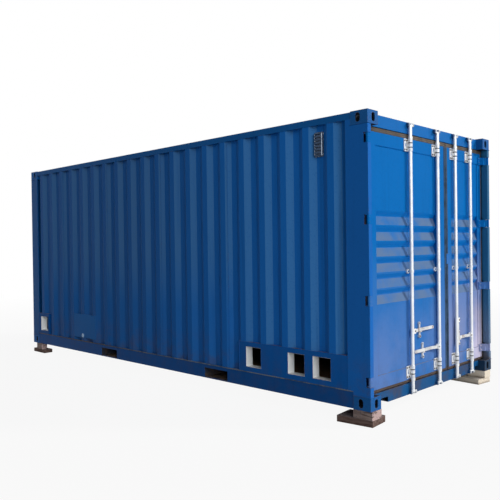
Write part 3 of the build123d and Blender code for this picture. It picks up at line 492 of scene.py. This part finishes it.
def cast_vent():
    """Dark hood on a bare cast rim, whose front lies further in than the middle of the hood, and a
    painted highlight on the louvre faces that look towards the doors.
    """
    material, tree, place, normal = blank_material("cast_vent")
    fade = noise(tree, place, 60, 4.0)
    rim_front, hood_front, louvre_back, louvre_front = -1.1885, -1.1915, -1.2005, -1.2035
    is_rim = band(tree, parts_of(tree, place)["Y"], hood_front, rim_front)
    hood = cover(tree, band(tree, fade, 0.35, 0.7), (0.014, 0.040, 0.090), (0.028, 0.070, 0.150))
    bare = cover(tree, band(tree, fade, 0.52, 0.62), (0.010, 0.045, 0.110), (0.30, 0.38, 0.48))
    colour = cover(tree, is_rim, hood, bare)
    # Louvre faces that look towards the doors are painted pale as a painted highlight; sharp edges are
    # paled a little where worn.
    lit_side = band(tree, parts_of(tree, normal)["X"], 0.35, 0.8)
    on_louvre = band(tree, parts_of(tree, place)["Y"], louvre_back, louvre_front)
    lit_side = calc(tree, "MULTIPLY", lit_side, on_louvre)
    lit_and_rubbed = calc(tree, "MAXIMUM", lit_side, calc(tree, "MULTIPLY", worn_edge(tree, 0.0015), 0.35))
    colour = cover(tree, lit_and_rubbed, colour, (0.66, 0.72, 0.78))
    return close(material, tree, colour, 0.42, fade, 0.3, 0.001, gloss=0.4)


dress(cast_vent(), "wall_vent")
plate_blue = (0.006, 0.140, 0.450)
plate_paint = container_paint("plate_paint", plate_blue, chalk=0.5, streaks=0.3, soil=0.1, wear=0.4,
                              dull=0.45)
dress(plate_paint, "blank_plate")


def zinc_skin(name, bright, dull, rust_from):
    """Hot-dip galvanised steel: pale spangle, duller patches and brown bleeding."""
    material, tree, place, _ = blank_material(name)
    spangle = shader(tree, "ShaderNodeTexVoronoi", Vector=place, Scale=75)
    tone = noise(tree, place, 7, 4.0)
    colour = cover(tree, band(tree, tone, 0.3, 0.75), bright, dull)
    colour = cover(tree, calc(tree, "MULTIPLY", spangle.outputs["Distance"], 0.3), colour, dull)
    bleed = band(tree, noise(tree, place, 15, 5.0, 0.7), rust_from, rust_from + 0.12)
    colour = cover(tree, calc(tree, "MULTIPLY", bleed, 0.85), colour, (0.19, 0.085, 0.038))
    roughness = calc(tree, "ADD", calc(tree, "MULTIPLY", tone, 0.2), 0.28)
    return close(material, tree, colour, roughness, tone, 0.2, 0.001, 0.3)


bright_zinc = zinc_skin("bright_zinc", (0.90, 0.91, 0.92), (0.68, 0.69, 0.71), 0.66)
dome = [(0.0045, 0), (0.0043, 0.0012), (0.0034, 0.0024), (0.0018, 0.0031)]
vent_low, vent_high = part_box("wall_vent")
rivet_front, rivet_inset, rivet_rise = -1.189, 0.0042, 0.022
rivets = [(x, rivet_front, z) for x in (vent_low[0] + rivet_inset, vent_high[0] - rivet_inset)
          for z in (vent_low[2] + rivet_rise, vent_high[2] - rivet_rise)]
small_dome = [(r * 0.62, h) for r, h in dome]
turned("vent_rivets", rivets, (0, -1, 0), small_dome, "container", bright_zinc, sides=10, smooth=True)
plate_low, plate_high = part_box("blank_plate")
plug = [(0.028, 0), (0.0275, 0.003), (0.022, 0.0052), (0.012, 0.0062)]
pale_plug = zinc_skin("pale_plug", (0.24, 0.36, 0.50), (0.14, 0.25, 0.40), 0.72)
plug_place = (-1.610, plate_low[1], 0.368)
turned("plate_plug", [plug_place], (0, -1, 0), plug, "container", pale_plug, sides=20, smooth=True)
plate_margin, plate_columns = 0.02, 6
plate_x = np.linspace(plate_low[0] + plate_margin, plate_high[0] - plate_margin, plate_columns)
plate_z = (plate_low[2] + plate_margin, plate_high[2] - plate_margin)
plate_rivets = [(x, plate_low[1], z) for x in plate_x for z in plate_z]
painted_dome = [(r * 1.3, h * 1.2) for r, h in dome]
turned("plate_rivets", plate_rivets, (0, -1, 0), painted_dome, "container", plate_paint, sides=10,
       smooth=True)


# Underside: plywood floor boards on pressed cross members, and two fork pockets, closed at
# their mouths by cheeks and scraped down to brown primer and rust by the forks. The pockets
# and cheeks are coloured near black under that dirt and rust: painted shade.
def floor_boards():
    """Oiled plywood: long grain under a brick pattern of boards that differ in tone."""
    material, tree, place, _ = blank_material("floor_boards")
    grain = noise(tree, place, 12, 6.0, 0.65, (0.25, 5, 1))
    colour = cover(tree, band(tree, grain, 0.3, 0.7), (0.26, 0.145, 0.07), (0.40, 0.245, 0.12))
    board = shader(tree, "ShaderNodeTexBrick", Vector=place, Scale=1.0)
    board.inputs["Color1"].default_value = (1, 1, 1, 1)
    board.inputs["Color2"].default_value = (0.8, 0.8, 0.8, 1)
    board.inputs["Mortar"].default_value = (0.1, 0.1, 0.1, 1)
    board.inputs["Mortar Size"].default_value = 0.004
    board.inputs["Brick Width"].default_value = 2.4
    board.inputs["Row Height"].default_value = 1.16
    tint = tree.nodes.new("ShaderNodeMix")
    tint.data_type = "RGBA"
    tint.blend_type = "MULTIPLY"
    sockets = {socket.identifier: socket for socket in tint.inputs}
    sockets["Factor_Float"].default_value = 1
    tree.links.new(colour, sockets["A_Color"])
    tree.links.new(board.outputs["Color"], sockets["B_Color"])
    colour = {socket.identifier: socket for socket in tint.outputs}["Result_Color"]
    return close(material, tree, colour, 0.6, grain, 0.3, 0.001)


dress(floor_boards(), "floor")
dress(frame_paint, "cross_members")
# Near-black base of the pockets: painted shade inside them, under road dirt and chipped rust.
pocket_shade_grey = (0.030, 0.035, 0.050)
shaded_pocket_paint = container_paint("shaded_pocket_paint", pocket_shade_grey, chalk=0.2, streaks=0.3, soil=1.8, wear=1.6)
dress(shaded_pocket_paint, "fork_pockets")


def plates(name, lows, highs, body, material):
    """Flat plates as boxes: corner k of a box takes its low or high value by the bits of k."""
    lows, highs = np.array(lows, float), np.array(highs, float)
    bits = (np.arange(8)[:, None] >> np.arange(3)[None]) & 1
    points = np.where(bits[None] == 1, highs[:, None], lows[:, None])
    sides = np.array([(0, 4, 6, 2), (1, 3, 7, 5), (0, 1, 5, 4), (2, 6, 7, 3), (0, 2, 3, 1), (4, 5, 7, 6)])
    faces = (sides[None] + 8 * np.arange(len(lows))[:, None, None]).reshape(-1, 4)
    return riding_mesh(name, points.reshape(-1, 3), faces.tolist(), body, material)


rail_back, pocket_end, cheek, pocket_half = 1.2108, 1.1702, 0.006, 0.180
cheek_foot, cheek_head = 0.1472, 0.2848
cheek_low, cheek_high = [], []
for middle in (-0.973, 1.077):
    for edge in (middle - pocket_half - cheek, middle + pocket_half):
        for y in (-rail_back, pocket_end):
            cheek_low.append((edge, y, cheek_foot))
            cheek_high.append((edge + cheek, y + rail_back - pocket_end, cheek_head))
plates("pocket_cheeks", cheek_low, cheek_high, "container", shaded_pocket_paint)


# Door leaves: square tube frames with a pressed, ribbed sheet between them, hung on
# forged blades that swing on pins between lugs on the posts. The sun has kept this
# end bright, and a pale film of dust hangs on its lower half.
door_blue = (0.001, 0.138, 0.450)
# Both leaves take dust on the upward rib facets and painted bounce light on the downward ones.
left_leaf_paint = container_paint("left_leaf_paint", door_blue, chalk=0.4, streaks=0.25, soil=0.2,
                                  wear=0.5, veil=0.17, veil_top=1.7, dust_and_bounce=0.8, gloss=0.03)
right_leaf_paint = container_paint("right_leaf_paint", door_blue, chalk=0.3, streaks=0.25, soil=0.2,
                                   wear=0.5, veil=0.38, veil_top=1.8, dust_and_bounce=0.8, gloss=0.03)
dress(left_leaf_paint, "left_door_leaf", "left_hinge_blades", "right_hinge_blades")
dress(right_leaf_paint, "right_door_leaf")
recess_face, recess_low, recess_high = 2.944, 0.399, 2.453
recesses = {"left": (-0.985, 0.1145, left_leaf_paint), "right": (0.4435, 1.073, right_leaf_paint)}
for side, (y_low, y_high, paint) in recesses.items():
    loop = [(recess_face, y_low, recess_low), (recess_face, y_high, recess_low),
            (recess_face, y_high, recess_high), (recess_face, y_low, recess_high)]
    bead(f"{side}_sheet_weld", loop, (1, 0, 0), f"{side}_door", paint, radius=0.0055, ripple=0.009,
         closed=True)
hinge_heights = (0.388, 1.088, 1.788, 2.488)
hinge_x, hinge_y, leaf_face, blade_face = 3.016, 1.206, 2.952, 2.962
bolt_inset, bolt_rise, pin_rise = 0.100, 0.022, 0.0551
bolt = [(0.0135, 0), (0.0135, 0.0018), (0.0088, 0.0019), (0.0088, 0.0078), (0.0074, 0.0088)]
cap = [(0.0115, 0), (0.0115, 0.003), (0.0095, 0.0045)]
for side, sign, paint in (("left", -1, left_leaf_paint), ("right", 1, right_leaf_paint)):
    bolt_y = sign * (hinge_y - bolt_inset)
    bolts = [(blade_face, bolt_y, z + dz) for z in hinge_heights for dz in (-bolt_rise, bolt_rise)]
    turned(f"{side}_hinge_bolts", bolts, (1, 0, 0), bolt, f"{side}_door", paint, sides=6)
    heads = [(hinge_x, sign * hinge_y, z + pin_rise) for z in hinge_heights]
    turned(f"{side}_pin_heads", heads, (0, 0, 1), cap, "container", bright_zinc, sides=14, smooth=True)


# Gaskets: extruded rubber with two lips, carried round each leaf under a thin strip, gone
# brown with rust dust, and caught by the spray gun where the leaves meet.
def brown_rubber():
    """Aged rubber, redder near the ground and oversprayed with blue between the leaves."""
    material, tree, place, _ = blank_material("brown_rubber")
    bloom = noise(tree, place, 10, 5.0, 0.6)
    colour = cover(tree, band(tree, bloom, 0.35, 0.7), (0.070, 0.058, 0.050), (0.120, 0.100, 0.086))
    height = parts_of(tree, place)["Z"]
    splash = calc(tree, "MULTIPLY", band(tree, height, 0.5, 0.25), 0.6)
    colour = cover(tree, splash, colour, (0.060, 0.036, 0.030))
    beside = parts_of(tree, place)["Y"]
    meeting = calc(tree, "MULTIPLY", band(tree, beside, 0.26, 0.28), band(tree, beside, 0.40, 0.38))
    meeting = calc(tree, "MULTIPLY", meeting, band(tree, height, 2.570, 2.555))
    meeting = calc(tree, "MULTIPLY", meeting, band(tree, height, 0.27, 0.32))
    overspray = cover(tree, band(tree, bloom, 0.35, 0.6), (0.014, 0.036, 0.070), (0.030, 0.075, 0.150))
    colour = cover(tree, calc(tree, "MULTIPLY", meeting, 0.9), colour, overspray)
    return close(material, tree, colour, 0.7, bloom, 0.3, 0.002, gloss=0.15)


rubber = brown_rubber()
dress(rubber, "left_door_seal", "right_door_seal")
lip_share = np.array([0.06, 0.10, 0.22, 0.34, 0.42, 0.50, 0.58, 0.66, 0.78, 0.90, 0.95])
lip_height = np.array([0.0, 0.003, 0.0046, 0.003, 0.0008, 0.0004, 0.0008, 0.003, 0.0046, 0.003, 0.0])
gasket_share = np.concatenate([lip_share, lip_share[::-1]])
gasket_height = np.concatenate([lip_height, np.full(len(lip_share), -0.001)])
for side in ("left", "right"):
    leaf_low, leaf_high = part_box(f"{side}_door_leaf")
    lip_low, lip_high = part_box(f"{side}_door_seal")
    inner = np.array([(leaf_low[1], leaf_low[2]), (leaf_high[1], leaf_low[2]), (leaf_high[1], leaf_high[2]),
                      (leaf_low[1], leaf_high[2])])
    outer = np.array([(lip_low[1], lip_low[2]), (lip_high[1], lip_low[2]), (lip_high[1], lip_high[2]),
                      (lip_low[1], lip_high[2])])
    flat = inner[:, None] + (outer - inner)[:, None] * gasket_share[None, :, None]
    depth = np.broadcast_to(leaf_face + gasket_height, flat.shape[:2])
    points = np.concatenate([depth[..., None], flat], axis=-1)[:, ::-1]
    grid_object(f"{side}_gasket_lips", points, f"{side}_door", rubber, round_rows=True,
                round_columns=True)


# Locking gear: drawn tube bars with forged cams that bite behind keepers on the frame,
# knuckled bearings bolted to the leaves, and flat handles held by catches. All of it is
# hot-dip galvanised, pale in the sun and brown where it rubs.
worn_zinc = zinc_skin("worn_zinc", (0.84, 0.84, 0.84), (0.52, 0.52, 0.53), 0.54)
dark_zinc = zinc_skin("dark_zinc", (0.20, 0.20, 0.21), (0.10, 0.09, 0.09), 0.50)
dress(bright_zinc, "left_bar_bearings", "right_bar_bearings")
dress(worn_zinc, "handle_1", "handle_2", "handle_3", "handle_4", "left_handle_catches",
      "right_handle_catches")
bar_x, bearing_face = 2.976, 2.958
bearing_heights, groove_middle, groove_half = (0.358, 2.505), 0.0213, 0.006


def bar_skin():
    """Bright zinc with near-black rings in the gaps between the knuckles, painted as shade."""
    material, tree, place, _ = blank_material("bar_skin")
    tone = noise(tree, place, 7, 4.0)
    colour = cover(tree, band(tree, tone, 0.35, 0.8), (0.94, 0.95, 0.96), (0.74, 0.75, 0.77))
    height = parts_of(tree, place)["Z"]
    # Near-black ring at each gap between the knuckles: painted shade.
    for middle in bearing_heights:
        above = calc(tree, "ABSOLUTE", calc(tree, "SUBTRACT", height, middle), 0)
        off = calc(tree, "ABSOLUTE", calc(tree, "SUBTRACT", above, groove_middle), 0)
        ring = band(tree, off, groove_half + 0.002, groove_half - 0.002)
        colour = cover(tree, calc(tree, "MULTIPLY", ring, 0.9), colour, (0.035, 0.030, 0.028))
    bleed = band(tree, noise(tree, place, 15, 5.0, 0.7), 0.63, 0.72)
    colour = cover(tree, calc(tree, "MULTIPLY", bleed, 0.8), colour, (0.19, 0.085, 0.038))
    roughness = calc(tree, "ADD", calc(tree, "MULTIPLY", tone, 0.2), 0.26)
    return close(material, tree, colour, roughness, tone, 0.2, 0.001, 0.3)


def keeper_skin(name, blue):
    """Blue paint, worn down to pale zinc on the noses, the parts furthest out from the doors."""
    nose_from = 2.976
    material, tree, place, _ = blank_material(name)
    tone = noise(tree, place, 40, 4.0)
    colour = cover(tree, band(tree, tone, 0.4, 0.7), blue, tuple(c * 0.6 for c in blue))
    nose = band(tree, parts_of(tree, place)["X"], nose_from, nose_from + 0.006)
    colour = cover(tree, nose, colour, (0.80, 0.82, 0.84))
    return close(material, tree, colour, 0.5, tone, 0.3, 0.001, gloss=0.3)


dress(bar_skin(), "locking_bar_1", "locking_bar_2", "locking_bar_3", "locking_bar_4")
dress(keeper_skin("keeper_skin", (0.006, 0.070, 0.220)), "upper_cam_keepers", "lower_cam_keepers")
# Each bar: its leaf, Y of its axis, height of the hub and the side on which its handle lies
bars = {1: ("left", -0.420, 0.740, 1), 2: ("left", 0.112, 0.534, -1),
        3: ("right", 0.496, 0.760, 1), 4: ("right", 0.847, 0.568, -1)}
bearing_rise, bearing_backs, guide_height, guide_back = 0.043, (0.068, 0.036), 1.312, 0.028
small_bolt = [(r * 0.72, h * 0.8) for r, h in bolt]
guide_bolt = [(r * 1.1, h) for r, h in small_bolt]
rivet_head = [(0.010, 0), (0.0095, 0.0025), (0.007, 0.0045), (0.0035, 0.0056)]
for side in ("left", "right"):
    spots = [(bearing_face, y - back, z + dz) for place, y, _, _ in bars.values() if place == side
             for z in bearing_heights for dz in (-bearing_rise, bearing_rise) for back in bearing_backs]
    turned(f"{side}_bearing_bolts", spots, (1, 0, 0), small_bolt, f"{side}_door", dark_zinc, sides=6)
    pads = [(bearing_face, y - guide_back, guide_height) for place, y, _, _ in bars.values()
            if place == side]
    turned(f"{side}_guide_bolts", pads, (1, 0, 0), guide_bolt, f"{side}_door", header_paint, sides=6)
# Lower rivet of each catch, in Y and height
catches = {"left": ((-0.247, 0.674), (-0.189, 0.468)), "right": ((0.590, 0.502),)}
lobe_low, lobe_high, lobe_rise = 2.963, 2.958, 0.124
lobe_plug = [(0.009, 0), (0.0085, 0.0007)]
for side, spots in catches.items():
    lower = [(lobe_low, y, z) for y, z in spots]
    turned(f"{side}_catch_rivets", lower, (1, 0, 0), rivet_head, f"{side}_door", dark_zinc, sides=14,
           smooth=True)
    upper = [(lobe_high, y, z + lobe_rise) for y, z in spots]
    turned(f"{side}_catch_plugs", upper, (1, 0, 0), lobe_plug, f"{side}_door", dark_zinc, sides=14)
hub_depth, hub_reach = 0.015, 0.032
for number, (side, y, z, way) in bars.items():
    hub = [(bar_x + hub_depth, y + way * hub_reach, z)]
    turned(f"hub_rivet_{number}", hub, (1, 0, 0), rivet_head, f"bar_{number}", dark_zinc, sides=14,
           smooth=True)


# Meeting plate: a small flat of steel on the edge of the right leaf, halfway up, that covers
# the gap between the leaves. It is welded on at its right side and painted with the leaf.
def slab(name, middle, half_width, half_height, steps, body, material, bulge=10, around=48):
    """Flat plate that faces +X: its outline is a superellipse, the power of the two shares
    adding up to 1, and each step sets that outline in by a margin at a height."""
    angle = 2 * np.pi * np.arange(around) / around
    wide = np.sign(np.cos(angle)) * np.abs(np.cos(angle)) ** (2 / bulge)
    tall = np.sign(np.sin(angle)) * np.abs(np.sin(angle)) ** (2 / bulge)
    margin, height = np.array(steps, float).T
    points = np.stack([np.broadcast_to(middle[0] + height[:, None], (len(steps), around)),
                       middle[1] + (half_width - margin)[:, None] * wide,
                       middle[2] + (half_height - margin)[:, None] * tall], axis=-1)
    return grid_object(name, points[::-1], body, material, round_columns=True, caps=True, smooth=False)


plate_steps = [(0.0, 0.0), (0.0, 0.0050), (0.0015, 0.0065)]
slab("meeting_plate", (leaf_face, 0.356, 1.411), 0.033, 0.054, plate_steps, "right_door", right_leaf_paint)
plate_weld = [(leaf_face, 0.3905, 1.362), (leaf_face, 0.3905, 1.460)]
bead("meeting_plate_weld", plate_weld, (1, 0, 0), "right_door", right_leaf_paint, radius=0.004,
     ripple=0.007)


# Welds: beads of steel laid by hand where castings and posts meet, at the ends of the lower
# panels and where one wall sheet joins the next. They are brushed off and painted over.
def casting_seams(end, side, low):
    """Lines along the two outer faces of a casting where the post stands on or under it."""
    packing, frame_height, casting_height, seam_end = 0.138, 2.591, 0.118, 1.169
    z = packing + casting_height if low else packing + frame_height - casting_height
    x_out, x_in = end * casting_outer["X"], end * casting_inner["X"]
    y_out, y_in = side * casting_outer["Y"], side * seam_end
    return [((x_in, y_out, z), (x_out, y_out, z), (0, side, 0)),
            ((x_out, y_out, z), (x_out, y_in, z), (end, 0, 0))]


seams = []
for end in (-1, 1):
    for side in (-1, 1):
        for low in (True, False):
            seams += casting_seams(end, side, low)
for number, (start, stop, normal) in enumerate(seams):
    bead(f"casting_weld_{number + 1}", [start, stop], normal, "container", frame_paint, radius=0.0042,
         ripple=0.007)
panel_low, panel_high = 0.298, 0.594
for number, x in enumerate((1.44, -2.56)):
    line = [(x, panel_face, panel_low), (x, panel_face, panel_high)]
    bead(f"panel_weld_{number + 1}", line, (0, -1, 0), "container", panel_paint, radius=0.0035,
         ripple=0.008)

joint_face, joint_low, joint_high = 1.212, 0.293, 2.661
for number, x in enumerate((1.291, 0.163, -0.965, -2.093)):
    for side, name in ((-1, "left"), (1, "right")):
        line = [(x, side * joint_face, joint_low), (x, side * joint_face, joint_high)]
        bead(f"{name}_wall_joint_{number + 1}", line, (0, side, 0), "container", panel_paint,
             radius=0.0022, ripple=0.006)


# Timber packing: under the doors a round-edged log, pale and pinkish on its sawn end, on
# a dark plank; under the front a sawn block on a plank. Grey on top, muddy at the ground.
def rough_timber(name, sawn_from):
    """Plank timber below a height, lighter log or block timber above it."""
    material, tree, place, normal = blank_material(name)
    height = parts_of(tree, place)["Z"]
    facing = parts_of(tree, normal)
    grain = noise(tree, place, 9, 6.0, 0.68, (0.5, 6, 6))
    plank = cover(tree, band(tree, grain, 0.3, 0.7), (0.075, 0.045, 0.038), (0.19, 0.125, 0.105))
    block = cover(tree, band(tree, grain, 0.3, 0.7), (0.21, 0.15, 0.13), (0.40, 0.31, 0.285))
    across_grain = shader(tree, "ShaderNodeMapping", Vector=place, Scale=(0, 1, 1)).outputs[0]
    rings = shader(tree, "ShaderNodeTexWave", Vector=across_grain, Scale=22, Distortion=3)
    rings.wave_type = "RINGS"
    rings.rings_direction = "X"
    sawn_end = cover(tree, rings.outputs["Fac"], (0.40, 0.27, 0.25), (0.58, 0.43, 0.41))
    block = cover(tree, calc(tree, "GREATER_THAN", facing["X"], 0.8), block, sawn_end)
    fleck = band(tree, noise(tree, place, 70, 3.0, 0.6), 0.58, 0.66)
    block = cover(tree, calc(tree, "MULTIPLY", fleck, 0.7), block, (0.055, 0.070, 0.110))
    colour = cover(tree, band(tree, height, sawn_from - 0.002, sawn_from + 0.002), plank, block)
    crack = band(tree, noise(tree, place, 26, 3.0, 0.5, (0.12, 1, 1)), 0.62, 0.66)
    colour = cover(tree, calc(tree, "MULTIPLY", crack, 0.6), colour, (0.03, 0.018, 0.012))
    fresh = cover(tree, grain, (0.66, 0.56, 0.44), (0.86, 0.78, 0.66))
    colour = cover(tree, calc(tree, "GREATER_THAN", parts_of(tree, place)["Y"], 0), colour, fresh)
    greyed = calc(tree, "MULTIPLY", band(tree, facing["Z"], 0.5, 0.9), 0.4)
    colour = cover(tree, greyed, colour, (0.20, 0.19, 0.20))
    mud = band(tree, calc(tree, "ADD", height, calc(tree, "MULTIPLY", grain, 0.03)), 0.045, 0.018)
    colour = cover(tree, calc(tree, "MULTIPLY", mud, 0.5), colour, (0.060, 0.028, 0.018))
    relief = calc(tree, "SUBTRACT", grain, calc(tree, "MULTIPLY", crack, 0.8))
    return close(material, tree, colour, 0.82, relief, 0.7, 0.004, gloss=0.2)


dress(rough_timber("door_timber", 0.058), "rear_sleepers")
dress(rough_timber("front_timber", 0.050), "front_boards")
